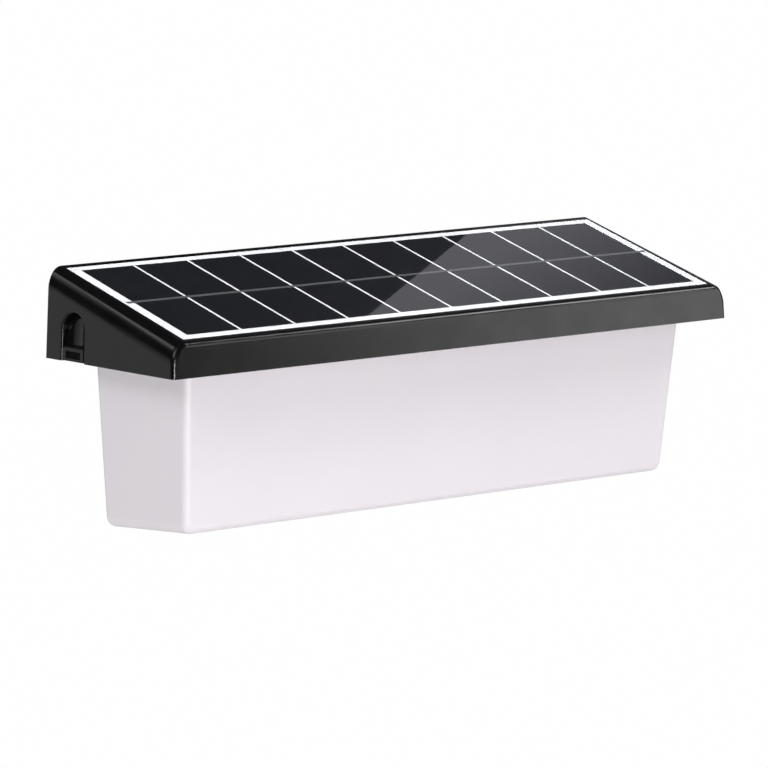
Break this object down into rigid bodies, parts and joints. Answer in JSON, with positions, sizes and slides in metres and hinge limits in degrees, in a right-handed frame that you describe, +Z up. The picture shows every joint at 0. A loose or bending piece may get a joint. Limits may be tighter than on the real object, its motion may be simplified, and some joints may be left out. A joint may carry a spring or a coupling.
{
  "type": "solar wall light",
  "caption": "Wedge-shaped solar wall light: a solar panel in the sloping top of a black housing, a milky diffuser box below it, and a wall bracket with sprung release tabs.",
  "frame": {"origin": "middle of the wall bracket's back face, between the two wall-screw holes", "axes": "+X along the wall to the right of someone facing the light, +Y into the wall, +Z up; the light stands out towards -Y"},
  "size_m": [0.22, 0.0608, 0.0776],
  "materials": {
    "housing_black": "fine satin moulding texture",
    "diffuser_milk": "satin, translucent white",
    "seal_rubber": "soft matte",
    "button_rubber": "soft matte",
    "tape_foam": "closed-cell foam",
    "cover_glass": "clear, flat polish",
    "cell_silicon": "near-black blue, anti-reflective",
    "backsheet_white": "even satin white",
    "ribbon_tin": "dull tinned metal",
    "screw_steel": "bright zinc",
    "tray_white": "even white",
    "led_board_white": "white solder mask",
    "led_yellow": "phosphor yellow",
    "battery_sleeve": "shrunk film over the can",
    "strap_steel": "spring steel",
    "board_green": "green solder mask",
    "socket_cream": "plain moulded",
    "component_black": "plain moulded",
    "plunger_white": "plain moulded",
    "lead_sleeve": "soft sleeve"
  },
  "bodies": {
    "light": {"housing": "housing_black", "bottom_plate": "housing_black", "wall_bracket": "housing_black", "diffuser": "diffuser_milk", "diffuser_gasket": "seal_rubber", "lead_grommet": "seal_rubber", "panel_tape": "tape_foam", "panel_cover": "cover_glass", "solar_cells": "cell_silicon", "panel_backsheet": "backsheet_white", "cell_ribbon": "ribbon_tin", "plate_screws": "screw_steel", "tray_screws": "screw_steel", "led_board_screws": "screw_steel", "strap_screws": "screw_steel", "board_screws": "screw_steel", "led_tray": "tray_white", "led_board": "led_board_white", "leds": "led_yellow", "battery_cell": "battery_sleeve", "battery_strap": "strap_steel", "control_board": "board_green", "lead_sockets": "socket_cream", "board_parts": "component_black", "switch_body": "component_black", "panel_leads": "lead_sleeve", "battery_leads": "lead_sleeve", "led_leads": "lead_sleeve"},
    "left_tab": {"left_release_tab": "housing_black"},
    "right_tab": {"right_release_tab": "housing_black"},
    "button": {"power_button": "button_rubber", "switch_plunger": "plunger_white"}
  },
  "joints": [
    {"name": "left_tab_press", "type": "hinge", "parent": "light", "child": "left_tab", "pos_m": [-0.10563, -0.0131, 0.00485], "axis": [0, -1, 0], "range_deg": [0, 11.5], "stiffness_Nm_per_rad": 0.08},
    {"name": "right_tab_press", "type": "hinge", "parent": "light", "child": "right_tab", "pos_m": [0.10563, -0.0131, 0.00485], "axis": [0, 1, 0], "range_deg": [0, 11.5], "stiffness_Nm_per_rad": 0.08},
    {"name": "button_press", "type": "slide", "parent": "light", "child": "button", "axis": [0, 0, 1], "range_m": [0, 0.0005], "stiffness_N_per_m": 3000}
  ]
}
